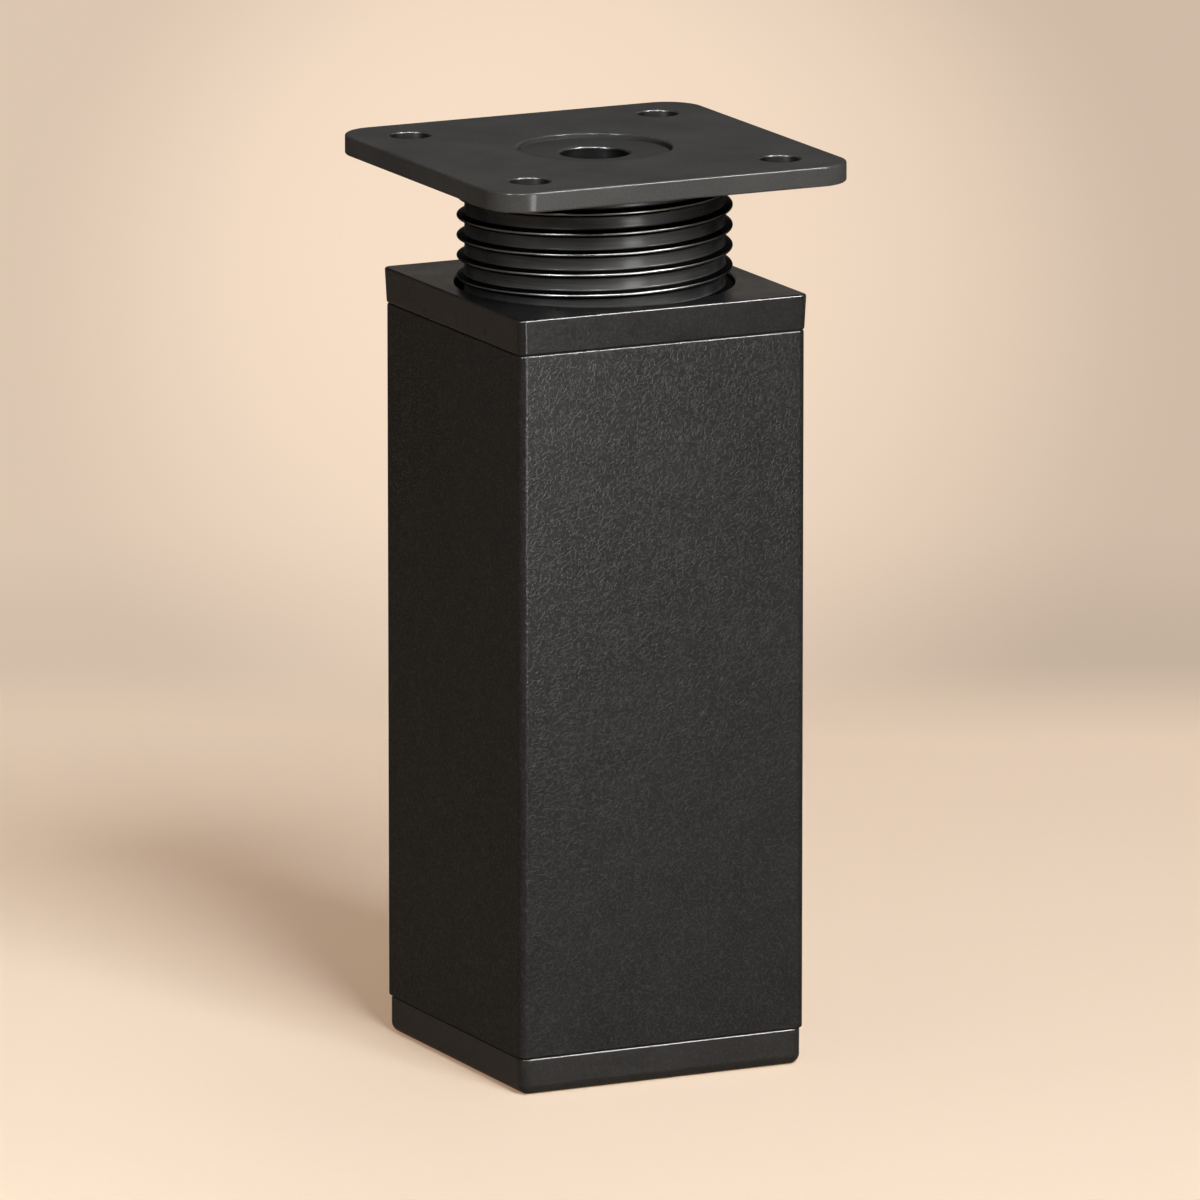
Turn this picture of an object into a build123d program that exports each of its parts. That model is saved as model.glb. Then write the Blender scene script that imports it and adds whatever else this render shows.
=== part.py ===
"""Square furniture leg with a screw height adjustment.

Millimetres, +Z up. The origin is the centre of the sole, and the tube's faces lie along X and Y.
The leg is modelled wound out, with the plate's sides in line with the tube's.
"""

import os
from math import atan, ceil, cos, degrees, radians, tan

from build123d import *

# Square tube, as wide as the collar round the thread makes it
TUBE_WALL = 1.2
TUBE_LENGTH = 90.6
TUBE_CORNER = 1.0  # outer radius of the long corners
TUBE_INNER_CORNER = 0.4

# Foot cap
FOOT_HEIGHT = 4.8
FOOT_INSET = 0.15  # how far its sides lie behind the tube's faces
FOOT_CORNER = 1.4
FOOT_SOLE_ROUND = 1.4
FOOT_SOLE_THICKNESS = 2.4
FOOT_PLUG_DEPTH = 12.0
FOOT_PLUG_WALL = 1.6
FOOT_POCKETS = 3  # moulding pockets along each side
FOOT_POCKET_RIB = 1.4

# Top collar
COLLAR_HEIGHT = 4.6
COLLAR_OVERHANG = 0.05  # how far its lower edge stands out from the tube's faces
COLLAR_FLARE = 0.2  # and how much further its upper edge does
COLLAR_CORNER = 1.0
COLLAR_TOP_BREAK = 0.3
COLLAR_PLUG_DEPTH = 13.0
COLLAR_WALL = 0.8  # where the bore comes nearest to the plug's sides
COLLAR_MOUTH_BREAK = 0.3

# Both plugs in the tube
PLUG_GAP = 0.2
PLUG_CORNER = 1.0  # flat across each long corner
PLUG_LEAD = 0.6  # chamfer at the end that enters first
GRIP_RIB_WIDTH = 1.2
GRIP_RIB_SPACING = 24.0
GRIP_RIB_LEAD = 1.5  # ribs stop this far short of the plug's end

# Thread of the stem, single start, right hand, with sharp ridges and flat roots
THREAD_DIAMETER = 35.0
THREAD_DEPTH = 1.0
THREAD_PITCH = 2.6
THREAD_FLANK = 27.5  # degrees from square to the axis
THREAD_LEAD = 2.0  # from the plate down to the first crest on the +X side
THREAD_RUNOUT = 0.9  # from the plate down to the thread's end
THREAD_ROOTING = 0.02  # how far a ridge or a lug is sunk into its wall

# Nut thread of the collar, moulded as short lugs at the plug's corners
LUG_ANGLES = (45, 135, 225, 315)  # degrees from +X
LUG_ARC = 36.0  # degrees
LUG_TOP = 0.5  # the lugs run below the first crests that are this far under the collar's top
LUG_GAP = 0.2  # between the lugs and the stem's flanks and roots
MOUTH_GAP = 0.3  # between the stem's crests and the collar's bore

# Threaded stem
STEM_LENGTH = 19.0
STEM_WALL = 2.6
STEM_TOP_WALL = 2.6
STEM_CHAMFER = 0.8
WOUND_OUT = 14.6  # collar's top to plate's underside

# Mounting plate
PLATE_SIDE = 50.0
PLATE_THICKNESS = 2.6
PLATE_CORNER = 5.0
PLATE_EDGE_BREAK = 0.3
SCREW_SPACING = 35.0
SCREW_HOLE = 5.2
SCREW_RIM_BREAK = 0.25
SEAT_DIAMETER = 19.6
SEAT_RIM_BREAK = 0.3

# Hollow rivet through plate and stem
RIVET_SUNK = 0.7  # head below the plate's face
RIVET_HEAD = 0.7
RIVET_SHANK = 11.0
RIVET_BORE = 8.9
RIVET_GAP = 0.1  # radial play in the seat and the holes
RIVET_RIM_BREAK = 0.35
RIVET_FLARE = 14.0
RIVET_FLARE_THICKNESS = 0.8

# Heights along Z
tube_bottom = FOOT_HEIGHT
tube_top = tube_bottom + TUBE_LENGTH
collar_top = tube_top + COLLAR_HEIGHT
plate_bottom = collar_top + WOUND_OUT
plate_top = plate_bottom + PLATE_THICKNESS
stem_bottom = plate_bottom - STEM_LENGTH
stem_ceiling = plate_bottom - STEM_TOP_WALL
foot_plug_top = tube_bottom + FOOT_PLUG_DEPTH
rivet_head_top = plate_top - RIVET_SUNK
rivet_head_bottom = rivet_head_top - RIVET_HEAD

# Widths and radii that the pieces share
crest_radius = THREAD_DIAMETER / 2
root_radius = crest_radius - THREAD_DEPTH
mouth_radius = crest_radius + MOUTH_GAP
plug_side = 2 * (mouth_radius + COLLAR_WALL)
tube_inside = plug_side + 2 * PLUG_GAP
tube_side = tube_inside + 2 * TUBE_WALL
rivet_hole = RIVET_SHANK / 2 + RIVET_GAP
seat_radius = SEAT_DIAMETER / 2


def grip_rib_outline():
    """Thin ribs that reach from the plug to the tube's inner faces, drawn in the sketch that is open."""
    with GridLocations(GRIP_RIB_SPACING, 0, 2, 1):
        Rectangle(GRIP_RIB_WIDTH, tube_inside)
    with GridLocations(0, GRIP_RIB_SPACING, 1, 2):
        Rectangle(tube_inside, GRIP_RIB_WIDTH)


def ridge_half(radius):
    """Half the width of the stem's ridge at a radius."""
    return (crest_radius - radius) * tan(radians(THREAD_FLANK))


def lug_half(radius):
    """Half the width at a radius of a lug that runs midway between two ridges."""
    return THREAD_PITCH / 2 - ridge_half(radius) - LUG_GAP / cos(radians(THREAD_FLANK))


def crest_at_or_below(height, angle):
    """Height of the nearest crest at this angle from +X that isn't above this height."""
    crest = plate_bottom - THREAD_LEAD + THREAD_PITCH * angle / 360
    return crest - ceil((crest - height) / THREAD_PITCH) * THREAD_PITCH


# Square tube
with BuildPart() as square_tube:
    with BuildSketch(Plane.XY.offset(tube_bottom)):
        RectangleRounded(tube_side, tube_side, TUBE_CORNER)
        RectangleRounded(tube_inside, tube_inside, TUBE_INNER_CORNER, mode=Mode.SUBTRACT)
    extrude(amount=TUBE_LENGTH)

# Foot cap
foot_side = tube_side - 2 * FOOT_INSET
pocket_span = plug_side - 2 * FOOT_PLUG_WALL
pocket_side = (pocket_span - (FOOT_POCKETS - 1) * FOOT_POCKET_RIB) / FOOT_POCKETS
pocket_step = pocket_side + FOOT_POCKET_RIB

with BuildPart() as foot_cap:
    with BuildSketch(Plane.XY):
        RectangleRounded(foot_side, foot_side, FOOT_CORNER)
    extrude(amount=FOOT_HEIGHT)
    fillet(foot_cap.faces().sort_by(Axis.Z)[0].edges(), FOOT_SOLE_ROUND)
    with BuildSketch(Plane.XY.offset(tube_bottom)) as foot_plug:
        Rectangle(plug_side, plug_side)
        chamfer(foot_plug.vertices(), PLUG_CORNER)
    extrude(amount=FOOT_PLUG_DEPTH)
    chamfer(foot_cap.faces().sort_by(Axis.Z)[-1].edges(), PLUG_LEAD)
    with BuildSketch(Plane.XY.offset(tube_bottom)):
        grip_rib_outline()
    extrude(amount=FOOT_PLUG_DEPTH - GRIP_RIB_LEAD)
    with BuildSketch(Plane.XY.offset(FOOT_SOLE_THICKNESS)):
        with GridLocations(pocket_step, pocket_step, FOOT_POCKETS, FOOT_POCKETS):
            Rectangle(pocket_side, pocket_side)
    extrude(amount=foot_plug_top - FOOT_SOLE_THICKNESS, mode=Mode.SUBTRACT)

# Top collar
collar_base_side = tube_side + 2 * COLLAR_OVERHANG
collar_taper = degrees(atan(COLLAR_FLARE / COLLAR_HEIGHT))
lug_tip = root_radius + LUG_GAP
lug_root = mouth_radius + THREAD_ROOTING
lug_rise = THREAD_PITCH * LUG_ARC / 360

with BuildPart() as nut_lug:
    with BuildLine() as lug_path:
        Helix(THREAD_PITCH, lug_rise, crest_radius)
    with BuildSketch(Plane.XZ) as lug_section:
        with BuildLine():
            Polyline(
                (lug_tip, -lug_half(lug_tip)),
                (lug_root, -lug_half(lug_root)),
                (lug_root, lug_half(lug_root)),
                (lug_tip, lug_half(lug_tip)),
                close=True,
            )
        make_face()
    sweep(lug_section.sketch, path=lug_path.line, is_frenet=True)

with BuildPart() as top_collar:
    with BuildSketch(Plane.XY.offset(tube_top)):
        RectangleRounded(collar_base_side, collar_base_side, COLLAR_CORNER)
    extrude(amount=COLLAR_HEIGHT, taper=-collar_taper)
    chamfer(top_collar.faces().sort_by(Axis.Z)[-1].edges(), COLLAR_TOP_BREAK)
    with BuildSketch(Plane.XY.offset(tube_top)) as collar_plug:
        Rectangle(plug_side, plug_side)
        chamfer(collar_plug.vertices(), PLUG_CORNER)
    extrude(amount=-COLLAR_PLUG_DEPTH)
    chamfer(top_collar.faces().sort_by(Axis.Z)[0].edges(), PLUG_LEAD)
    with BuildSketch(Plane.XY.offset(tube_top)):
        grip_rib_outline()
    extrude(amount=-(COLLAR_PLUG_DEPTH - GRIP_RIB_LEAD))
    with Locations(Plane.XY.offset(collar_top)):
        Hole(mouth_radius)
    chamfer(top_collar.faces().sort_by(Axis.Z)[-1].inner_wires().edges(), COLLAR_MOUTH_BREAK)
    for angle in LUG_ANGLES:
        lug_middle = crest_at_or_below(collar_top - LUG_TOP, angle) - THREAD_PITCH / 2
        with Locations(Location((0, 0, lug_middle - lug_rise / 2), (0, 0, angle - LUG_ARC / 2))):
            add(nut_lug.part)

# Threaded stem
stem_bore = root_radius - STEM_WALL
ridge_root = root_radius - THREAD_ROOTING
ridge_start = crest_at_or_below(stem_bottom + STEM_CHAMFER, 0) + THREAD_PITCH
ridge_height = plate_bottom - THREAD_RUNOUT - ridge_start

with BuildPart() as threaded_stem:
    with BuildSketch(Plane.XZ):
        with BuildLine():
            Polyline(
                (stem_bore, stem_bottom),
                (root_radius - STEM_CHAMFER, stem_bottom),
                (root_radius, stem_bottom + STEM_CHAMFER),
                (root_radius, plate_bottom),
                (rivet_hole, plate_bottom),
                (rivet_hole, stem_ceiling),
                (stem_bore, stem_ceiling),
                close=True,
            )
        make_face()
    revolve(axis=Axis.Z)
    with BuildLine() as ridge_path:
        Helix(THREAD_PITCH, ridge_height, crest_radius, center=(0, 0, ridge_start))
    with BuildSketch(Plane.XZ) as ridge_section:
        with BuildLine():
            Polyline(
                (ridge_root, ridge_start - ridge_half(ridge_root)),
                (crest_radius, ridge_start),
                (ridge_root, ridge_start + ridge_half(ridge_root)),
                close=True,
            )
        make_face()
    sweep(ridge_section.sketch, path=ridge_path.line, is_frenet=True)

# Mounting plate
with BuildPart() as mounting_plate:
    with BuildSketch(Plane.XY.offset(plate_bottom)):
        RectangleRounded(PLATE_SIDE, PLATE_SIDE, PLATE_CORNER)
    extrude(amount=PLATE_THICKNESS)
    chamfer(mounting_plate.faces().sort_by(Axis.Z)[-1].edges(), PLATE_EDGE_BREAK)
    with Locations(Plane.XY.offset(plate_top)):
        with GridLocations(SCREW_SPACING, SCREW_SPACING, 2, 2):
            Hole(SCREW_HOLE / 2)
    chamfer(mounting_plate.faces().sort_by(Axis.Z)[-1].inner_wires().edges(), SCREW_RIM_BREAK)
    with Locations(Plane.XY.offset(plate_top)):
        CounterBoreHole(rivet_hole, seat_radius, plate_top - rivet_head_bottom)
    top_rims = mounting_plate.faces().sort_by(Axis.Z)[-1].inner_wires().edges()
    chamfer(top_rims.sort_by(SortBy.RADIUS)[-1], SEAT_RIM_BREAK)

# Hollow rivet
with BuildPart() as plate_rivet:
    with BuildSketch(Plane.XZ):
        with BuildLine():
            Polyline(
                (RIVET_BORE / 2, stem_ceiling - RIVET_FLARE_THICKNESS),
                (RIVET_FLARE / 2, stem_ceiling - RIVET_FLARE_THICKNESS),
                (RIVET_FLARE / 2, stem_ceiling),
                (RIVET_SHANK / 2, stem_ceiling),
                (RIVET_SHANK / 2, rivet_head_bottom),
                (seat_radius - RIVET_GAP, rivet_head_bottom),
                (seat_radius - RIVET_GAP, rivet_head_top),
                (RIVET_BORE / 2 + RIVET_RIM_BREAK, rivet_head_top),
                (RIVET_BORE / 2, rivet_head_top - RIVET_RIM_BREAK),
                close=True,
            )
        make_face()
    revolve(axis=Axis.Z)

pieces = {
    "mounting_plate": mounting_plate,
    "plate_rivet": plate_rivet,
    "threaded_stem": threaded_stem,
    "top_collar": top_collar,
    "square_tube": square_tube,
    "foot_cap": foot_cap,
}
os.makedirs("parts", exist_ok=True)
for name, piece in pieces.items():
    piece.part.label = name
    export_step(piece.part, f"parts/{name}.step")
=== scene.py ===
"""Looks of the square furniture leg: rounded meshes over the CAD pieces, finishes, studio and camera."""

from math import ceil, cos, radians, sin, tan

import bmesh
import bpy
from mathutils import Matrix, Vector


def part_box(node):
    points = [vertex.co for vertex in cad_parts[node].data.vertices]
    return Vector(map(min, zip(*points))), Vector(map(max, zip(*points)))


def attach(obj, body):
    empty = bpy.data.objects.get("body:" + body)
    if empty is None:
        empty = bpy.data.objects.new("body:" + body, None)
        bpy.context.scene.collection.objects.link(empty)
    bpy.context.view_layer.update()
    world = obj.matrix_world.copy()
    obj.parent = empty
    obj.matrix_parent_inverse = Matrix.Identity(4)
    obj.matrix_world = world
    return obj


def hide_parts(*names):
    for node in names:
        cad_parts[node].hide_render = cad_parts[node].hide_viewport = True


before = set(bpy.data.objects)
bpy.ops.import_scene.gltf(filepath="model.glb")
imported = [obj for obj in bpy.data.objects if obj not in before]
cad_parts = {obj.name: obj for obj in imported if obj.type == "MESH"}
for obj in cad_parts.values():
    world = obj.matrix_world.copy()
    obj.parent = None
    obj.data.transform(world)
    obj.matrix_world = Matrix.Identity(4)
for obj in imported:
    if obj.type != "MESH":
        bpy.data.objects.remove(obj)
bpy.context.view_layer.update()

MM = 0.001
TINY = 0.01 * MM  # places closer than this count as one

# Holes and bores are given by their radius.

# Square tube
TUBE_CORNER = 1.0 * MM
TUBE_INSIDE = 18.8 * MM  # half its inner side
TUBE_INNER_CORNER = 0.4 * MM
TUBE_END_ROUND = 0.3 * MM

# Foot cap
FOOT_HEIGHT = 4.8 * MM
FOOT_CORNER = 1.4 * MM
FOOT_SOLE_ROUND = 1.4 * MM
FOOT_TOP_ROUND = 0.3 * MM
FOOT_SOLE_THICKNESS = 2.4 * MM
FOOT_POCKET = 10.4 * MM
FOOT_POCKET_STEP = 11.8 * MM
FOOT_POCKETS = 3  # in a row

# Top collar
COLLAR_HEIGHT = 4.6 * MM
COLLAR_BASE_HALF = 20.05 * MM  # at the tube's end; the top is a little wider
COLLAR_CORNER = 1.0 * MM
COLLAR_EDGE_ROUND = 0.3 * MM
COLLAR_BORE = 17.8 * MM

# Plugs of foot and collar
PLUG_HALF = 18.6 * MM
PLUG_CORNER = 1.0 * MM
PLUG_LEAD = 0.6 * MM
GRIP_RIB_HALF = 0.6 * MM
GRIP_RIB_PLACE = 12.0 * MM
GRIP_RIB_LEAD = 1.5 * MM

# Threaded stem
THREAD_PITCH = 2.6 * MM
THREAD_DEPTH = 1.0 * MM
THREAD_RIDGE = 1.04 * MM  # width of the ridge at its foot
THREAD_CREST = 0.3 * MM
THREAD_CREST_ROUND = 0.14 * MM
THREAD_ROOT_ROUND = 0.16 * MM
THREAD_LEAD = 2.0 * MM  # from the plate down to the first crest on the +X side
THREAD_STEPS = 160  # in a turn
SPARE_TURNS = 4  # wound past both ends of the stem and cut off level
SPARE_TURNS_ABOVE = 2
STEM_BORE = 13.9 * MM
STEM_TOP_WALL = 2.6 * MM

# Nut lugs of the collar
LUG_ANGLES = (45, 135, 225, 315)
LUG_ARC = 36
LUG_STEPS = 16
LUG_TIP = 16.7 * MM
LUG_TIP_HALF = 0.66 * MM
LUG_ROOT = 17.85 * MM
LUG_ROOT_HALF = 1.25 * MM
LUG_TOP = 0.5 * MM  # below the collar's top

# Mounting plate
PLATE_CORNER = 5.0 * MM
PLATE_EDGE_ROUND = 0.3 * MM
SCREW_HALF_SPACING = 17.5 * MM
SCREW_HOLE = 2.6 * MM
SCREW_RIM_ROUND = 0.25 * MM
SEAT = 9.8 * MM
SEAT_RIM_ROUND = 0.3 * MM

# Rivet
RIVET_HOLE = 5.6 * MM  # in plate and stem
RIVET_HEAD = 0.7 * MM
RIVET_SHANK = 5.5 * MM
RIVET_BORE = 4.45 * MM
RIVET_FLARE = 7.0 * MM
RIVET_FLARE_THICKNESS = 0.8 * MM
RIVET_RIM_ROUND = 0.35 * MM
RIVET_EDGE_ROUND = 0.15 * MM

# Steps and shading of the roundings
CHAMFER_STEPS = 1
FINE_STEPS = 4
EDGE_STEPS = 5
RIM_STEPS = 6  # of the holes, and of the plate's edges
RIVET_RIM_STEPS = 8
CORNER_STEPS = 10
FOOT_STEPS = 12
PLATE_CORNER_STEPS = 20
HOLE_SIDES = 128
ROUND_PROFILE = 0.5  # a quarter circle
SHARP_ANGLE = radians(35)
FACING_UP = 0.9

# Textures of the finishes; scales, grain and clouds are in waves per metre
NOISE_MIDDLE = 0.5
WRINKLE_SCALE = 1850
WRINKLE_TURN = (0.6, 0.4, 0.9)  # off the faces, so that no wrinkle runs square
WRINKLE_SWIRL = 0.5
WRINKLE_WIDTH = 0.09
WRINKLE_SHARE = 0.6  # of the relief; grain is the rest
WRINKLE_GRAIN = 5200
WRINKLE_CLOUDS = 170
GRAIN_SCALE = 3600
GRAIN_CLOUDS = 110
RING_SCALE = (60, 60, 5000)
RING_CLOUDS = 300

# How relief and mottle change a finish
RELIEF_MEAN = 0.4
MOTTLE_MEAN = 0.5
MOTTLE_TONE = 0.6
MOTTLE_GLOSS = 0.25
SKIN_IOR = 3.0

# Wear in the holes; painted highlight and painted shade on the thread
BARE_STEEL = (0.022, 0.0217, 0.0214, 1)
HOLE_WEAR = 0.06 * MM  # how far it reaches from the hole's wall
DRILL_MARKS = 2.0  # how much deeper they are than the coat's own relief
BORE_MARKS = 16.0
# painted highlight: the crests of the thread are coloured a lighter metal
CREST_PAINTED_HIGHLIGHT = (0.085, 0.083, 0.081, 1)
CREST_HIGHLIGHT_REACH = 0.08 * MM  # how far the painted highlight reaches down from the crest
# painted shade: the flanks of the thread are coloured near black
FLANK_PAINTED_SHADE = (0.003, 0.003, 0.003, 1)
FLANK_SHADE_START = 0.08 * MM  # where the painted shade starts, above the thread's root
FLANK_SHADE_FULL = 0.24 * MM
WEAR_OR_PAINT_POLISH = 0.15  # how much less rough a worn place, or a place of painted shade or highlight, is
STEM_TINT = (0.1, 0.1, 0.1, 1)

# Camera, as the photograph was taken
CAMERA_AZIMUTH = radians(-25.945)
CAMERA_ELEVATION = radians(12.165)
CAMERA_DISTANCE = 2049.4 * MM
CAMERA_TARGET = Vector((0.355, -0.825, 58.67)) * MM
CAMERA_LENS = 483.4
CAMERA_SENSOR = 36.0
CAMERA_REACH = 50

# Paper floor and the backdrop that it runs into; places and lengths in metres
FLOOR_SIZE = 6
PAPER = (0.70, 0.62, 0.52)
PAPER_SHADE = (0.30, 0.186, 0.112, 1)  # what is still seen of the paper in full shadow
PAPER_ROUGHNESS = 0.9
PAPER_LEFT = (-0.08, -0.01)  # where the paper is painted lighter on the left, a painted pool of light
PAPER_LEFT_PAINTED_LIGHT = 1.16
BACKDROP = (1.0, 0.79, 0.615)
BACKDROP_TURN = -CAMERA_AZIMUTH
BACKDROP_START = 0.175
BACKDROP_LEVEL = 0.72
BACKDROP_HALF_WIDTH = 0.08
# painted shade: the backdrop is darker towards the right
BACKDROP_RIGHT_PAINTED_SHADE = 0.09
HORIZON = 0.235  # behind the leg
HORIZON_RISE = 0.08
HORIZON_FALL = 0.10
# painted shade: a dark band along the horizon
HORIZON_PAINTED_SHADE = 0.07
HORIZON_GAP = 0.07  # behind the leg it is fainter
HORIZON_IN_GAP = 0.25
# painted light: a glow on the backdrop above the horizon
GLOW_PLACE = 0.55
GLOW_HALF_WIDTH = 0.075
GLOW_HALF_DEPTH = 0.36
GLOW_REACH = 1.6
PAINTED_GLOW_GAIN = 0.24

# Lamps: name, azimuth and elevation in degrees, distance, width and height in metres, power in watts
KEY_SOFTBOX = ("key_softbox", 0, 40, 0.95, 0.4, 0.4, 9.5)
GLOSS_LAMPS = (
    ("right_strip", 35, 42, 0.9, 0.14, 0.5, 55.0),
    ("left_strip", -60, 32, 0.9, 0.14, 0.5, 26.0),
    ("front_strip", -24, 42, 0.9, 0.12, 0.3, 26.0),
    ("face_card", 7.6, 3.8, 0.303, 0.08, 0.12, 1.3),
)
LAMP_TARGET = Vector((0, 0, 0.06))

# Light all round
ROOM_LIGHT = (0.20, 0.196, 0.192, 1)
ROOM_BACKDROP = (0.62, 0.55, 0.49, 1)
ROOM_BEHIND = 0.7
ROOM_LOW = 0.1
ROOM_HIGH = 0.6

# Colour sockets of Blender's Mix node
MIX_FIRST, MIX_SECOND, MIX_RESULT = 6, 7, 2


def clear_selection():
    if bpy.context.object and bpy.context.object.mode != "OBJECT":
        bpy.ops.object.mode_set(mode="OBJECT")
    bpy.ops.object.select_all(action="DESELECT")


def take(piece):
    """Make this piece the only one selected."""
    clear_selection()
    piece.select_set(True)
    bpy.context.view_layer.objects.active = piece


def edit(piece):
    take(piece)
    bpy.ops.object.mode_set(mode="EDIT")


def leave_edit():
    bpy.ops.object.mode_set(mode="OBJECT")


def add_block(name, low, high):
    """A box between two corners, its place kept in its mesh."""
    clear_selection()
    low, high = Vector(low), Vector(high)
    bpy.ops.mesh.primitive_cube_add(size=1, location=(low + high) / 2)
    block = bpy.context.object
    block.name = name
    block.scale = high - low
    bpy.ops.object.transform_apply(location=True, rotation=True, scale=True)
    return block


def add_square_block(name, half, low, high):
    return add_block(name, (-half, -half, low), (half, half, high))


def select_edges(piece, wanted):
    """In edit mode, select the edges whose two ends pass the test."""
    bpy.ops.mesh.select_mode(type="EDGE")
    bpy.ops.mesh.select_all(action="DESELECT")
    mesh = bmesh.from_edit_mesh(piece.data)
    for edge in mesh.edges:
        edge.select_set(wanted(edge.verts[0].co, edge.verts[1].co))
    bmesh.update_edit_mesh(piece.data)


def select_faces(piece, wanted):
    """In edit mode, select the faces whose normal passes the test."""
    bpy.ops.mesh.select_mode(type="FACE")
    bpy.ops.mesh.select_all(action="DESELECT")
    mesh = bmesh.from_edit_mesh(piece.data)
    for face in mesh.faces:
        face.select_set(wanted(face.normal))
    bmesh.update_edit_mesh(piece.data)


def select_verts(piece, wanted):
    """In edit mode, select the vertices whose place passes the test."""
    bpy.ops.mesh.select_mode(type="VERT")
    bpy.ops.mesh.select_all(action="DESELECT")
    mesh = bmesh.from_edit_mesh(piece.data)
    for vert in mesh.verts:
        vert.select_set(wanted(vert.co))
    mesh.select_flush(True)
    bmesh.update_edit_mesh(piece.data)


def bevel_selected(width, steps, affect="EDGES"):
    bpy.ops.mesh.bevel(
        offset=width, offset_type="OFFSET", segments=steps, profile=ROUND_PROFILE, affect=affect
    )


def upright(a, b):
    return abs(a.z - b.z) > TINY and abs(a.x - b.x) < TINY and abs(a.y - b.y) < TINY


def at_height(height):
    return lambda a, b: abs(a.z - height) < TINY and abs(b.z - height) < TINY


def same_side(a, b, half):
    """Whether both places are inside or both outside an upright square of this half side."""
    return (max(abs(a.x), abs(a.y)) > half) == (max(abs(b.x), abs(b.y)) > half)


def combine(piece, other, operation):
    """Join another mesh to this piece or cut it out, and use it up."""
    take(piece)
    change = piece.modifiers.new("combine", "BOOLEAN")
    change.operation = operation
    change.solver = "EXACT"
    change.object = other
    bpy.ops.object.modifier_apply(modifier=change.name)
    bpy.data.objects.remove(other)


def cut_round_hole(piece, radius, low, high, x=0.0, y=0.0):
    """Cut a round hole between two heights."""
    clear_selection()
    bpy.ops.mesh.primitive_cylinder_add(
        vertices=HOLE_SIDES, radius=radius, depth=high - low, location=(x, y, (low + high) / 2)
    )
    combine(piece, bpy.context.object, "DIFFERENCE")


def round_rim(piece, radius, height, width, x=0.0, y=0.0):
    """Round the rim of a round hole at this height."""
    level, middle = at_height(height), Vector((x, y))

    def on_rim(a, b):
        reach = max((a.xy - middle).length, (b.xy - middle).length)
        return level(a, b) and reach < radius + TINY

    edit(piece)
    select_edges(piece, on_rim)
    bevel_selected(width, RIM_STEPS)
    leave_edit()


def keep_faces_flat(piece):
    """Shade the rounded edges smooth and the flat faces flat."""
    take(piece)
    bpy.ops.object.shade_smooth_by_angle(angle=SHARP_ANGLE)
    flat = piece.modifiers.new("flat faces", "WEIGHTED_NORMAL")
    flat.weight = 100  # large faces keep their own normals
    flat.keep_sharp = True
    bpy.ops.object.modifier_apply(modifier=flat.name)


def draw_profile(name, points):
    """A line of edges in the XZ plane through these radii and heights."""
    clear_selection()
    first = Vector((points[0][0], 0, points[0][1]))
    bpy.ops.mesh.primitive_plane_add(size=MM)
    line = bpy.context.object
    line.name = name
    bpy.ops.object.mode_set(mode="EDIT")
    bpy.ops.mesh.select_mode(type="VERT")
    bpy.ops.mesh.select_all(action="SELECT")
    bpy.ops.mesh.merge(type="CENTER")
    bpy.ops.transform.translate(value=first)
    for start, end in zip(points, points[1:]):
        step = (end[0] - start[0], 0, end[1] - start[1])
        bpy.ops.mesh.extrude_vertices_move(TRANSFORM_OT_translate={"value": step})
    leave_edit()
    return line


def bevel_profile(line, radius, steps, wanted):
    """Round the corners of a profile whose place passes the test."""
    edit(line)
    select_verts(line, wanted)
    bevel_selected(radius, steps, "VERTICES")
    leave_edit()


def near(point, radius, height):
    return abs(point.x - radius) < TINY and abs(point.z - height) < TINY


def close_mesh(piece):
    """Merge doubles and turn all faces outwards."""
    edit(piece)
    bpy.ops.mesh.select_all(action="SELECT")
    bpy.ops.mesh.remove_doubles(threshold=TINY / 10)
    bpy.ops.mesh.normals_make_consistent(inside=False)
    leave_edit()


def spin_profile(line):
    """Turn a closed profile round the Z axis."""
    edit(line)
    bpy.ops.mesh.select_all(action="SELECT")
    bpy.ops.mesh.spin(steps=HOLE_SIDES, angle=radians(360), center=(0, 0, 0), axis=(0, 0, 1))
    leave_edit()
    close_mesh(line)


def wind_profile(line, angle, rise, turns, steps):
    """Wind a profile up a right-hand helix."""
    take(line)
    winding = line.modifiers.new("thread", "SCREW")
    winding.angle = radians(angle)
    winding.screw_offset = rise
    winding.iterations = turns
    winding.steps = steps
    winding.render_steps = steps
    winding.use_merge_vertices = True
    winding.merge_threshold = TINY / 10
    bpy.ops.object.modifier_apply(modifier=winding.name)


def cut_level(piece, height, side):
    """Cut the piece off level and close the cut; the part on the named side goes."""
    edit(piece)
    bpy.ops.mesh.select_all(action="SELECT")
    bpy.ops.mesh.bisect(
        plane_co=(0, 0, height),
        plane_no=(0, 0, 1),
        use_fill=True,
        clear_outer=side == "above",
        clear_inner=side == "below",
        threshold=TINY / 100,
    )
    leave_edit()


def make_square_tube():
    low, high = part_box("square_tube")
    tube = add_block("tube_body", low, high)
    hollow = add_square_block("hollow", TUBE_INSIDE, low.z - MM, high.z + MM)
    for block, corner in ((tube, TUBE_CORNER), (hollow, TUBE_INNER_CORNER)):
        edit(block)
        select_edges(block, upright)
        bevel_selected(corner, CORNER_STEPS)
        leave_edit()
    combine(tube, hollow, "DIFFERENCE")
    wall_middle = (high.x + TUBE_INSIDE) / 2
    edit(tube)
    for end in (low.z, high.z):
        level = at_height(end)
        select_edges(tube, lambda a, b: level(a, b) and same_side(a, b, wall_middle))
        bevel_selected(TUBE_END_ROUND, EDGE_STEPS)
    leave_edit()
    keep_faces_flat(tube)
    return tube


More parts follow.
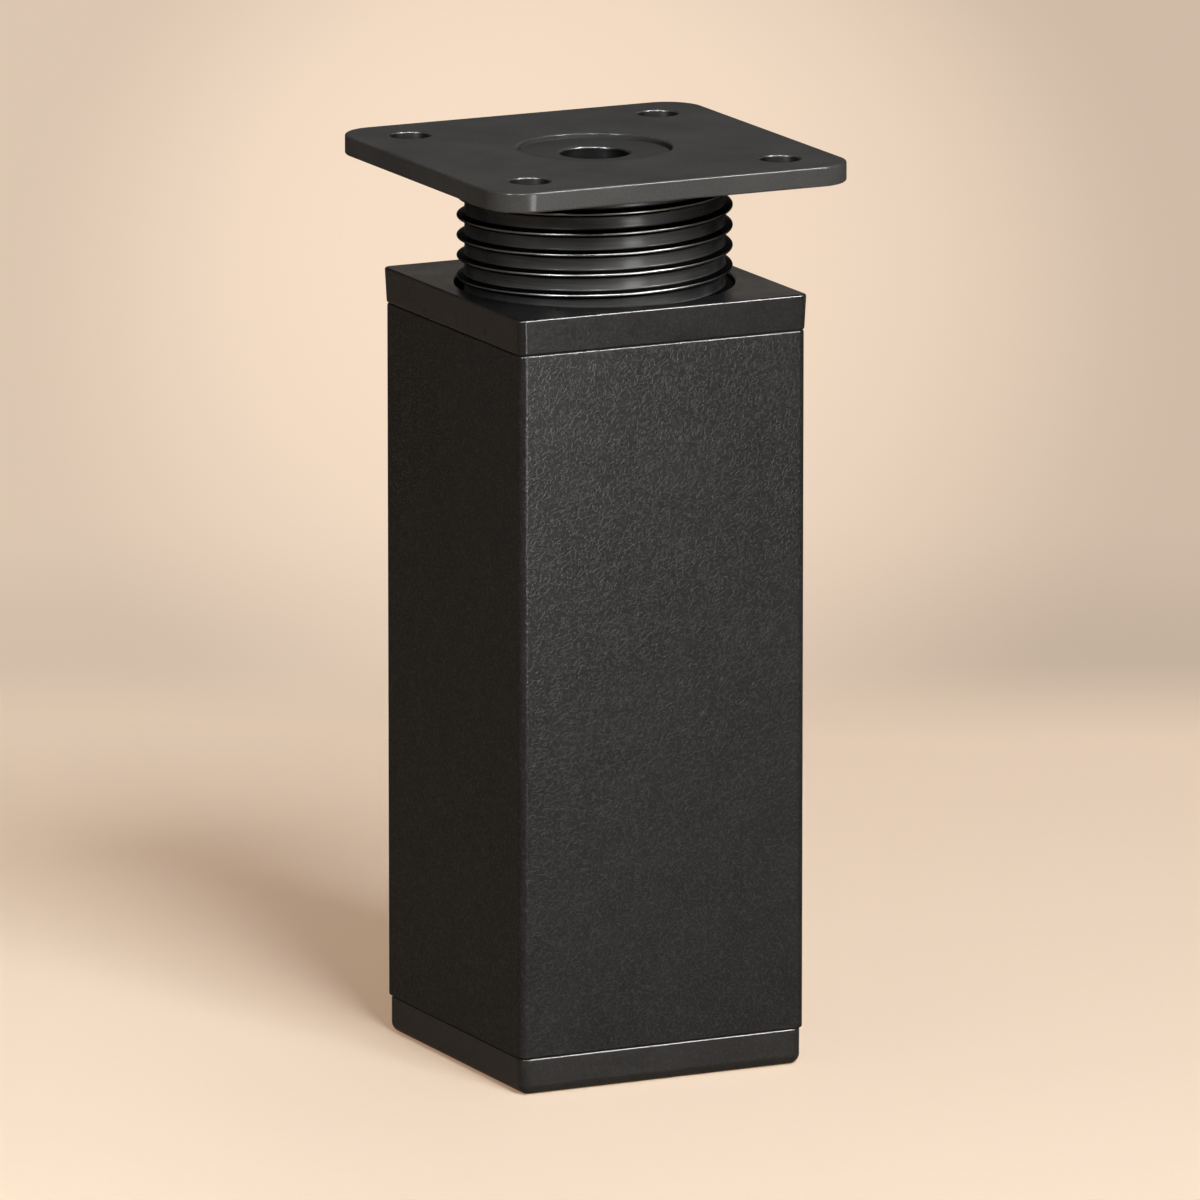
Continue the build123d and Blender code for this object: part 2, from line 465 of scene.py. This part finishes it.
def add_plug(piece, seam, end):
    """The plug that holds this piece in the tube, with its grip ribs."""
    inward = 1 if end > seam else -1
    sunk = seam - inward * MM
    plug = add_square_block("plug", PLUG_HALF, min(sunk, end), max(sunk, end))
    edit(plug)
    select_edges(plug, upright)
    bevel_selected(PLUG_CORNER, CHAMFER_STEPS)
    select_edges(plug, at_height(end))
    bevel_selected(PLUG_LEAD, CHAMFER_STEPS)
    leave_edit()
    combine(piece, plug, "UNION")
    rib_end = end - inward * GRIP_RIB_LEAD
    rib_low, rib_high = min(sunk, rib_end), max(sunk, rib_end)
    for place in (-GRIP_RIB_PLACE, GRIP_RIB_PLACE):
        left, right = place - GRIP_RIB_HALF, place + GRIP_RIB_HALF
        across_x = add_block("rib", (-TUBE_INSIDE, left, rib_low), (TUBE_INSIDE, right, rib_high))
        combine(piece, across_x, "UNION")
        across_y = add_block("rib", (left, -TUBE_INSIDE, rib_low), (right, TUBE_INSIDE, rib_high))
        combine(piece, across_y, "UNION")


def cut_pockets(foot, low, high):
    """Square moulding pockets in rows, open at the plug's end."""
    start = -(FOOT_POCKETS - 1) / 2 * FOOT_POCKET_STEP
    left, right = start - FOOT_POCKET / 2, start + FOOT_POCKET / 2
    pockets = add_block("pockets", (left, left, low), (right, right, high))
    for offset in ((FOOT_POCKET_STEP, 0, 0), (0, FOOT_POCKET_STEP, 0)):
        row = pockets.modifiers.new("row", "ARRAY")
        row.count = FOOT_POCKETS
        row.use_relative_offset = False
        row.use_constant_offset = True
        row.constant_offset_displace = offset
        bpy.ops.object.modifier_apply(modifier=row.name)
    combine(foot, pockets, "DIFFERENCE")


def make_foot():
    low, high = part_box("foot_cap")
    seam = low.z + FOOT_HEIGHT
    foot = add_block("foot", low, (high.x, high.y, seam))
    edit(foot)
    select_edges(foot, upright)
    bevel_selected(FOOT_CORNER, FOOT_STEPS)
    select_edges(foot, at_height(low.z))
    bevel_selected(FOOT_SOLE_ROUND, FOOT_STEPS)
    select_edges(foot, at_height(seam))
    bevel_selected(FOOT_TOP_ROUND, EDGE_STEPS)
    leave_edit()
    add_plug(foot, seam, high.z)
    cut_pockets(foot, low.z + FOOT_SOLE_THICKNESS, high.z + MM)
    keep_faces_flat(foot)
    return foot


def crest_below(height, angle):
    """Height of the thread's next crest at or below this height, at this angle from +X."""
    plate_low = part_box("mounting_plate")[0]
    crest = plate_low.z - THREAD_LEAD + THREAD_PITCH * angle / 360
    return crest - ceil((crest - height) / THREAD_PITCH) * THREAD_PITCH


def make_nut_lug(angle, middle):
    """Short piece of nut thread with its middle at this height."""
    rise = THREAD_PITCH * LUG_ARC / 360
    start = middle - rise / 2
    profile = [
        (LUG_TIP, start - LUG_TIP_HALF),
        (LUG_ROOT, start - LUG_ROOT_HALF),
        (LUG_ROOT, start + LUG_ROOT_HALF),
        (LUG_TIP, start + LUG_TIP_HALF),
        (LUG_TIP, start - LUG_TIP_HALF),
    ]
    lug = draw_profile("nut_lug", profile)
    close_mesh(lug)
    wind_profile(lug, LUG_ARC, rise, 1, LUG_STEPS)
    lug.rotation_euler.z = radians(angle - LUG_ARC / 2)
    bpy.ops.object.transform_apply(location=True, rotation=True, scale=True)
    edit(lug)
    bpy.ops.mesh.select_all(action="SELECT")
    bpy.ops.mesh.fill_holes(sides=4)
    leave_edit()
    close_mesh(lug)
    return lug


def make_collar():
    low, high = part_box("top_collar")
    seam = high.z - COLLAR_HEIGHT
    collar = add_square_block("collar", COLLAR_BASE_HALF, seam, high.z)
    edit(collar)
    select_faces(collar, lambda normal: normal.z > FACING_UP)
    flare = high.x / COLLAR_BASE_HALF
    bpy.ops.transform.resize(value=(flare, flare, 1), center_override=(0, 0, high.z))
    select_edges(collar, lambda a, b: abs(a.z - b.z) > TINY)
    bevel_selected(COLLAR_CORNER, CORNER_STEPS)
    for edge_height in (seam, high.z):
        select_edges(collar, at_height(edge_height))
        bevel_selected(COLLAR_EDGE_ROUND, EDGE_STEPS)
    leave_edit()
    add_plug(collar, seam, low.z)
    cut_round_hole(collar, COLLAR_BORE, low.z - MM, high.z + MM)
    round_rim(collar, COLLAR_BORE, high.z, COLLAR_EDGE_ROUND)
    for angle in LUG_ANGLES:
        # midway between two turns of the stem's thread
        middle = crest_below(high.z - LUG_TOP, angle) - THREAD_PITCH / 2
        combine(collar, make_nut_lug(angle, middle), "UNION")
    keep_faces_flat(collar)
    return collar


def make_plate():
    low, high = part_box("mounting_plate")
    rivet_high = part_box("plate_rivet")[1]
    plate = add_block("plate", low, high)
    edit(plate)
    select_edges(plate, upright)
    bevel_selected(PLATE_CORNER, PLATE_CORNER_STEPS)
    for edge_height in (low.z, high.z):
        select_edges(plate, at_height(edge_height))
        bevel_selected(PLATE_EDGE_ROUND, RIM_STEPS)
    leave_edit()
    for x in (-SCREW_HALF_SPACING, SCREW_HALF_SPACING):
        for y in (-SCREW_HALF_SPACING, SCREW_HALF_SPACING):
            cut_round_hole(plate, SCREW_HOLE, low.z - MM, high.z + MM, x, y)
            round_rim(plate, SCREW_HOLE, high.z, SCREW_RIM_ROUND, x, y)
    cut_round_hole(plate, SEAT, rivet_high.z - RIVET_HEAD, high.z + MM)
    round_rim(plate, SEAT, high.z, SEAT_RIM_ROUND)
    cut_round_hole(plate, RIVET_HOLE, low.z - MM, high.z + MM)
    keep_faces_flat(plate)
    return plate


def make_rivet():
    low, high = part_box("plate_rivet")
    shoulder = high.z - RIVET_HEAD
    ceiling = low.z + RIVET_FLARE_THICKNESS
    profile = [
        (RIVET_BORE, low.z),
        (RIVET_FLARE, low.z),
        (RIVET_FLARE, ceiling),
        (RIVET_SHANK, ceiling),
        (RIVET_SHANK, shoulder),
        (high.x, shoulder),
        (high.x, high.z),
        (RIVET_BORE, high.z),
        (RIVET_BORE, low.z),
    ]
    rivet = draw_profile("rivet", profile)
    close_mesh(rivet)
    bevel_profile(rivet, RIVET_RIM_ROUND, RIVET_RIM_STEPS, lambda p: near(p, RIVET_BORE, high.z))
    bevel_profile(rivet, RIVET_EDGE_ROUND, FINE_STEPS, lambda p: near(p, high.x, high.z))
    spin_profile(rivet)
    keep_faces_flat(rivet)
    return rivet


def thread_profile(crest, root, height):
    """One pitch of the thread, from valley to valley, with its crest at this height."""
    return [
        (root, height - THREAD_PITCH / 2),
        (root, height - THREAD_RIDGE / 2),
        (crest, height - THREAD_CREST / 2),
        (crest, height + THREAD_CREST / 2),
        (root, height + THREAD_RIDGE / 2),
        (root, height + THREAD_PITCH / 2),
    ]


def make_stem():
    low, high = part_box("threaded_stem")
    crest = high.x
    root = crest - THREAD_DEPTH
    turns = int((high.z - low.z) / THREAD_PITCH) + SPARE_TURNS
    first = high.z - THREAD_LEAD - (turns - SPARE_TURNS_ABOVE) * THREAD_PITCH
    ridge_half = THREAD_RIDGE / 2 + TINY
    stem = draw_profile("stem", thread_profile(crest, root, first))
    bevel_profile(stem, THREAD_CREST_ROUND, FINE_STEPS, lambda p: p.x > crest - TINY)
    bevel_profile(
        stem,
        THREAD_ROOT_ROUND,
        FINE_STEPS,
        lambda p: p.x < root + TINY and abs(p.z - first) < ridge_half,
    )
    wind_profile(stem, 360, THREAD_PITCH, turns, THREAD_STEPS)
    close_mesh(stem)
    cut_level(stem, high.z, "above")
    cut_level(stem, low.z, "below")
    close_mesh(stem)
    cut_round_hole(stem, STEM_BORE, low.z - MM, high.z - STEM_TOP_WALL)
    cut_round_hole(stem, RIVET_HOLE, low.z, high.z + MM)
    take(stem)
    bpy.ops.object.shade_smooth_by_angle(angle=SHARP_ANGLE)
    return stem


def add_node(tree, kind, **settings):
    node = tree.nodes.new(kind)
    for name, value in settings.items():
        setattr(node, name, value)
    return node


def feed(tree, socket, value):
    """Link an output to this input, or set the input to a number or colour."""
    if isinstance(value, bpy.types.NodeSocket):
        tree.links.new(value, socket)
    else:
        socket.default_value = value


def add_math(tree, operation, a, b=0.0):
    node = add_node(tree, "ShaderNodeMath", operation=operation)
    feed(tree, node.inputs[0], a)
    feed(tree, node.inputs[1], b)
    return node.outputs[0]


def sum_of_squares(tree, a, b):
    return add_math(tree, "ADD", add_math(tree, "POWER", a, 2.0), add_math(tree, "POWER", b, 2.0))


def add_noise(tree, place, scale, detail, roughness=0.5, distortion=0.0):
    node = add_node(tree, "ShaderNodeTexNoise")
    feed(tree, node.inputs["Vector"], place)
    node.inputs["Scale"].default_value = scale
    node.inputs["Detail"].default_value = detail
    node.inputs["Roughness"].default_value = roughness
    node.inputs["Distortion"].default_value = distortion
    return node.outputs["Fac"]


def add_range(tree, value, from_low, from_high, to_low, to_high):
    """Go smoothly from one number to another while the value crosses a range."""
    node = add_node(tree, "ShaderNodeMapRange", interpolation_type="SMOOTHSTEP")
    for socket, number in zip(node.inputs, (value, from_low, from_high, to_low, to_high)):
        feed(tree, socket, number)
    return node.outputs["Result"]


def add_mapping(tree, place, **changes):
    """Turn or stretch the coordinates of a texture."""
    node = add_node(tree, "ShaderNodeMapping")
    feed(tree, node.inputs["Vector"], place)
    for name, value in changes.items():
        node.inputs[name].default_value = value
    return node.outputs["Vector"]


def split_place(tree, place):
    node = add_node(tree, "ShaderNodeSeparateXYZ")
    feed(tree, node.inputs[0], place)
    return node.outputs


def mix_colors(tree, share, first, second):
    """Blend two colours; the share is the second one's."""
    node = add_node(tree, "ShaderNodeMix", data_type="RGBA")
    feed(tree, node.inputs["Factor"], share)
    feed(tree, node.inputs[MIX_FIRST], first)
    feed(tree, node.inputs[MIX_SECOND], second)
    return node.outputs[MIX_RESULT]


def scale_color(tree, color, level):
    node = add_node(tree, "ShaderNodeVectorMath", operation="SCALE")
    node.inputs[0].default_value = color
    feed(tree, node.inputs["Scale"], level)
    return node.outputs[0]


def object_place(tree):
    return add_node(tree, "ShaderNodeTexCoord").outputs["Object"]


def start_group(name):
    """A group with a relief and a mottle output, worked out from the object's own coordinates."""
    group = bpy.data.node_groups.new(name, "ShaderNodeTree")
    for output in ("Relief", "Mottle"):
        group.interface.new_socket(output, in_out="OUTPUT", socket_type="NodeSocketFloat")
    return group, object_place(group)


def end_group(group, relief, mottle):
    out = add_node(group, "NodeGroupOutput")
    feed(group, out.inputs["Relief"], relief)
    feed(group, out.inputs["Mottle"], mottle)
    return group


def wrinkle_group():
    """Fine worm-like wrinkles of a textured coat or moulding."""
    group, place = start_group("wrinkled_coat")
    turned = add_mapping(group, place, Rotation=WRINKLE_TURN)
    swirl = add_noise(group, turned, WRINKLE_SCALE, detail=0.0, distortion=WRINKLE_SWIRL)
    fold = add_math(group, "ABSOLUTE", add_math(group, "SUBTRACT", swirl, NOISE_MIDDLE))
    worms = add_range(group, fold, 0.0, WRINKLE_WIDTH, 1.0, 0.0)
    fine = add_noise(group, place, WRINKLE_GRAIN, detail=1.0)
    worm_relief = add_math(group, "MULTIPLY", worms, WRINKLE_SHARE)
    fine_relief = add_math(group, "MULTIPLY", fine, 1 - WRINKLE_SHARE)
    relief = add_math(group, "ADD", worm_relief, fine_relief)
    mottle = add_noise(group, place, WRINKLE_CLOUDS, detail=4.0, roughness=0.6)
    return end_group(group, relief, mottle)


def grain_group():
    """Fine even grain of a smooth coat."""
    group, place = start_group("fine_grain")
    relief = add_noise(group, place, GRAIN_SCALE, detail=2.0)
    mottle = add_noise(group, place, GRAIN_CLOUDS, detail=3.0, roughness=0.55)
    return end_group(group, relief, mottle)


def turned_group():
    """Fine rings that a lathe or a drill leaves."""
    group, place = start_group("turned_rings")
    stretched = add_mapping(group, place, Scale=RING_SCALE)
    relief = add_noise(group, stretched, 1.0, detail=2.0)
    mottle = add_noise(group, place, RING_CLOUDS, detail=3.0)
    return end_group(group, relief, mottle)


def start_material(name):
    material = bpy.data.materials.new(name)
    material.use_nodes = True
    return material, material.node_tree, shader_of(material)


def shader_of(material):
    return material.node_tree.nodes["Principled BSDF"]


def finish_material(
    name, group, *, color, roughness, specular, skin, sheen, relief_depth, tone, metallic=0.0
):
    """A matt finish whose colour, gloss and bumps follow a group's relief and mottle; the colour that
    follows the relief is partly the finish's own tone, partly painted shade in its hollows and painted
    light on its raised places.

    Over it lies a thin hard skin, with the sheen as its roughness, which draws the glints on edges.
    """
    material, tree, shader = start_material(name)
    surface = add_node(tree, "ShaderNodeGroup", node_tree=group)
    relief, mottle = surface.outputs["Relief"], surface.outputs["Mottle"]
    # partly own tone, partly painted shade and light: the relief's hollows are coloured darker and its
    # raised places lighter
    relief_tone_and_painted_shade = add_math(tree, "MULTIPLY", add_math(tree, "SUBTRACT", relief, RELIEF_MEAN), tone)
    drift = add_math(tree, "SUBTRACT", mottle, MOTTLE_MEAN)
    cloud = add_math(tree, "MULTIPLY", drift, MOTTLE_TONE)
    level = add_math(tree, "ADD", add_math(tree, "ADD", relief_tone_and_painted_shade, cloud), 1.0)
    feed(tree, shader.inputs["Base Color"], scale_color(tree, color, level))
    gloss = add_math(tree, "ADD", add_math(tree, "MULTIPLY", drift, MOTTLE_GLOSS), roughness)
    feed(tree, shader.inputs["Roughness"], gloss)
    shader.inputs["Metallic"].default_value = metallic
    shader.inputs["Specular IOR Level"].default_value = specular
    skin_weight = add_math(tree, "MULTIPLY", add_math(tree, "ADD", relief_tone_and_painted_shade, 1.0), skin)
    feed(tree, shader.inputs["Coat Weight"], skin_weight)
    shader.inputs["Coat Roughness"].default_value = sheen
    shader.inputs["Coat IOR"].default_value = SKIN_IOR
    bump = add_node(tree, "ShaderNodeBump")
    bump.inputs["Strength"].default_value = 1.0
    bump.inputs["Distance"].default_value = relief_depth
    feed(tree, bump.inputs["Height"], relief)
    feed(tree, shader.inputs["Normal"], bump.outputs["Normal"])
    feed(tree, shader.inputs["Coat Normal"], bump.outputs["Normal"])
    return material


def distance_from(tree, x, y):
    """How far a place is from an upright axis, or from the nearest of its images in X and Y."""
    place = split_place(tree, object_place(tree))
    across = add_math(tree, "SUBTRACT", add_math(tree, "ABSOLUTE", place["X"]), x)
    along = add_math(tree, "SUBTRACT", add_math(tree, "ABSOLUTE", place["Y"]), y)
    return add_math(tree, "SQRT", sum_of_squares(tree, across, along))


def burnish_or_paint_light(material, wear_or_painted_light, bare_or_painted_color):
    """Mix another colour into the finish and make it smoother there: bare metal where the coat is worn,
    or painted shade or painted highlight.
    """
    tree, shader = material.node_tree, shader_of(material)
    color, roughness = shader.inputs["Base Color"], shader.inputs["Roughness"]
    feed(tree, color, mix_colors(tree, wear_or_painted_light, color.links[0].from_socket, bare_or_painted_color))
    polish = add_math(tree, "MULTIPLY", wear_or_painted_light, WEAR_OR_PAINT_POLISH)
    feed(tree, roughness, add_math(tree, "SUBTRACT", roughness.links[0].from_socket, polish))


def burnish_hole(material, marks_group, x, y, radius, drill_marks):
    """Wear the coat in a drilled hole and its mirror images, down to the marks of the drill."""
    tree = material.node_tree
    wear_or_painted_light = add_range(tree, distance_from(tree, x, y), radius, radius + HOLE_WEAR, 1.0, 0.0)
    burnish_or_paint_light(material, wear_or_painted_light, BARE_STEEL)
    feed(tree, shader_of(material).inputs["Metallic"], wear_or_painted_light)
    marks = add_node(tree, "ShaderNodeGroup", node_tree=marks_group).outputs["Relief"]
    depth = add_math(tree, "MULTIPLY", add_math(tree, "MULTIPLY", marks, wear_or_painted_light), drill_marks)
    height = tree.nodes["Bump"].inputs["Height"]
    feed(tree, height, add_math(tree, "ADD", height.links[0].from_socket, depth))


def paint_thread_shade_and_highlight(material, crest):
    """Paint shade on the flanks of the thread and a painted highlight on its crests."""
    tree = material.node_tree
    reach = distance_from(tree, 0.0, 0.0)
    root = crest - THREAD_DEPTH
    # painted shade: the flanks are coloured near black
    flank_shade = add_range(tree, reach, root + FLANK_SHADE_START, root + FLANK_SHADE_FULL, 0.0, 1.0)
    burnish_or_paint_light(material, flank_shade, FLANK_PAINTED_SHADE)
    # painted highlight: the crests are coloured a lighter metal
    wear_or_painted_light = add_range(tree, reach, crest - CREST_HIGHLIGHT_REACH, crest, 0.0, 1.0)
    burnish_or_paint_light(material, wear_or_painted_light, CREST_PAINTED_HIGHLIGHT)


def dress(piece, body, node, material):
    piece.data.materials.clear()
    piece.data.materials.append(material)
    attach(piece, body)
    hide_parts(node)


def direction(azimuth, elevation):
    """From the leg towards a place round it; azimuth 0 is square to the wide face."""
    return Vector((sin(azimuth), -cos(azimuth), tan(elevation))).normalized()


def face_along(thing, way):
    thing.rotation_euler = way.to_track_quat("-Z", "Y").to_euler()


def add_camera():
    away = direction(CAMERA_AZIMUTH, CAMERA_ELEVATION)
    bpy.ops.object.camera_add(location=CAMERA_TARGET + away * CAMERA_DISTANCE)
    camera = bpy.context.object
    face_along(camera, -away)
    camera.data.lens = CAMERA_LENS
    camera.data.sensor_width = CAMERA_SENSOR
    camera.data.clip_end = CAMERA_REACH
    bpy.context.scene.camera = camera


def backdrop_axes(tree, place):
    """Places across the backdrop (X), towards it (Y) and up (Z)."""
    return split_place(tree, add_mapping(tree, place, Rotation=(0, 0, BACKDROP_TURN)))


def backdrop_level(tree, across, back):
    """How light the backdrop is: painted shade along the horizon, a painted glow above it, and painted
    shade falling off to the right.
    """
    rise = add_range(tree, back, HORIZON - HORIZON_RISE, HORIZON, 0.0, 1.0)
    fall = add_range(tree, back, HORIZON, HORIZON + HORIZON_FALL, 1.0, 0.0)
    aside = add_range(
        tree, add_math(tree, "ABSOLUTE", across), 0.0, HORIZON_GAP, HORIZON_IN_GAP, 1.0
    )
    horizon_painted_shade = add_math(tree, "MULTIPLY", add_math(tree, "MULTIPLY", rise, fall), aside)
    wide = add_math(tree, "DIVIDE", across, GLOW_HALF_WIDTH)
    deep = add_math(tree, "DIVIDE", add_math(tree, "SUBTRACT", back, GLOW_PLACE), GLOW_HALF_DEPTH)
    glow = add_range(tree, sum_of_squares(tree, wide, deep), 0.0, GLOW_REACH, 1.0, 0.0)
    level = add_math(tree, "ADD", add_math(tree, "MULTIPLY", glow, PAINTED_GLOW_GAIN), BACKDROP_LEVEL)
    level = add_math(tree, "SUBTRACT", level, add_math(tree, "MULTIPLY", horizon_painted_shade, HORIZON_PAINTED_SHADE))
    right = add_range(
        tree, across, -BACKDROP_HALF_WIDTH, BACKDROP_HALF_WIDTH, 0.0, BACKDROP_RIGHT_PAINTED_SHADE
    )
    return add_math(tree, "SUBTRACT", level, right)


def paper_material():
    """Beige paper that runs into a backdrop with a light of its own."""
    material, tree, shader = start_material("floor_paper")
    axes = backdrop_axes(tree, object_place(tree))
    across, back = axes["X"], axes["Y"]
    wall = scale_color(tree, BACKDROP, backdrop_level(tree, across, back))
    rays = add_node(tree, "ShaderNodeLightPath").outputs
    seen = add_math(tree, "MAXIMUM", rays["Is Camera Ray"], rays["Is Glossy Ray"])
    seen = add_math(tree, "MAXIMUM", seen, rays["Is Transmission Ray"])
    far = add_range(tree, add_math(tree, "ABSOLUTE", back), BACKDROP_START, HORIZON, 0.0, 1.0)
    wall_share = add_math(tree, "MULTIPLY", far, seen)
    feed(tree, shader.inputs["Emission Color"], mix_colors(tree, wall_share, PAPER_SHADE, wall))
    feed(tree, shader.inputs["Emission Strength"], seen)
    # painted light: the paper is coloured lighter towards the left
    painted_light_left = add_range(tree, across, *PAPER_LEFT, PAPER_LEFT_PAINTED_LIGHT, 1.0)
    paper_share = add_math(tree, "SUBTRACT", 1.0, wall_share)
    paper = scale_color(tree, PAPER, add_math(tree, "MULTIPLY", paper_share, painted_light_left))
    feed(tree, shader.inputs["Base Color"], paper)
    shader.inputs["Roughness"].default_value = PAPER_ROUGHNESS
    shader.inputs["Specular IOR Level"].default_value = 0.0
    return material


def add_floor():
    bpy.ops.mesh.primitive_plane_add(size=FLOOR_SIZE)
    floor = bpy.context.object
    floor.name = "floor"
    floor.data.materials.append(paper_material())


def add_softbox(name, azimuth, elevation, distance, width, height, power):
    """A softbox that looks at the leg's middle from this side."""
    side = direction(radians(azimuth), radians(elevation))
    bpy.ops.object.light_add(type="AREA", location=LAMP_TARGET + side * distance)
    lamp = bpy.context.object
    lamp.name = name
    face_along(lamp, -side)
    lamp.data.shape = "RECTANGLE"
    lamp.data.size = width
    lamp.data.size_y = height
    lamp.data.energy = power
    return lamp


def studio_world():
    """Dim soft light all round; shiny faces also see the pale backdrop low behind the leg."""
    world = bpy.data.worlds.new("studio")
    world.use_nodes = True
    tree = world.node_tree
    axes = backdrop_axes(tree, add_node(tree, "ShaderNodeTexCoord").outputs["Generated"])
    behind = add_range(tree, axes["Y"], 0.0, ROOM_BEHIND, 0.0, 1.0)
    low = add_range(tree, axes["Z"], ROOM_LOW, ROOM_HIGH, 1.0, 0.0)
    rays = add_node(tree, "ShaderNodeLightPath").outputs
    seen = add_math(tree, "MAXIMUM", rays["Is Glossy Ray"], rays["Is Transmission Ray"])
    share = add_math(tree, "MULTIPLY", add_math(tree, "MULTIPLY", behind, low), seen)
    light = mix_colors(tree, share, ROOM_LIGHT, ROOM_BACKDROP)
    feed(tree, tree.nodes["Background"].inputs["Color"], light)
    return world


wrinkles, grain, rings = wrinkle_group(), grain_group(), turned_group()
tube_coat = finish_material(
    "tube_coat",
    wrinkles,
    color=(0.014, 0.0138, 0.0136),
    roughness=0.6,
    specular=0.012,
    skin=0.031,
    sheen=0.24,
    relief_depth=0.014 * MM,
    tone=0.95,
)
foot_plastic = finish_material(
    "foot_plastic",
    wrinkles,
    color=(0.013, 0.0128, 0.0126),
    roughness=0.5,
    specular=0.02,
    skin=0.052,
    sheen=0.26,
    relief_depth=0.005 * MM,
    tone=0.6,
)
collar_plastic = finish_material(
    "collar_plastic",
    wrinkles,
    color=(0.013, 0.0128, 0.0126),
    roughness=0.3,
    specular=0.015,
    skin=0.034,
    sheen=0.2,
    relief_depth=0.006 * MM,
    tone=0.7,
)
plate_coat = finish_material(
    "plate_coat",
    grain,
    color=(0.055, 0.0540, 0.0530),
    roughness=0.5,
    specular=0.0,
    skin=0.016,
    sheen=0.2,
    relief_depth=0.003 * MM,
    tone=0.6,
)
burnish_hole(plate_coat, rings, SCREW_HALF_SPACING, SCREW_HALF_SPACING, SCREW_HOLE, DRILL_MARKS)
rivet_coat = finish_material(
    "rivet_coat",
    grain,
    color=(0.046, 0.0452, 0.0444),
    roughness=0.45,
    specular=0.0,
    skin=0.03,
    sheen=0.2,
    relief_depth=0.002 * MM,
    tone=0.4,
)
burnish_hole(rivet_coat, rings, 0.0, 0.0, RIVET_BORE, BORE_MARKS)
stem_anodised = finish_material(
    "stem_anodised",
    rings,
    color=(0.013, 0.0129, 0.0128),
    roughness=0.6,
    specular=0.1,
    skin=0.010,
    sheen=0.2,
    relief_depth=0.004 * MM,
    tone=1.2,
    metallic=1.0,
)
shader_of(stem_anodised).inputs["Specular Tint"].default_value = STEM_TINT
# painted shade on the thread's flanks and a painted highlight on its crests
paint_thread_shade_and_highlight(stem_anodised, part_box("threaded_stem")[1].x)

dress(make_square_tube(), "leg", "square_tube", tube_coat)
dress(make_foot(), "leg", "foot_cap", foot_plastic)
dress(make_collar(), "leg", "top_collar", collar_plastic)
dress(make_plate(), "head", "mounting_plate", plate_coat)
dress(make_rivet(), "rivet", "plate_rivet", rivet_coat)
dress(make_stem(), "head", "threaded_stem", stem_anodised)

add_camera()
add_floor()
add_softbox(*KEY_SOFTBOX)
for gloss_lamp in GLOSS_LAMPS:
    add_softbox(*gloss_lamp).visible_diffuse = False  # draws lines and glow in the gloss only
bpy.context.scene.world = studio_world()
bpy.context.scene.view_settings.view_transform = "Standard"
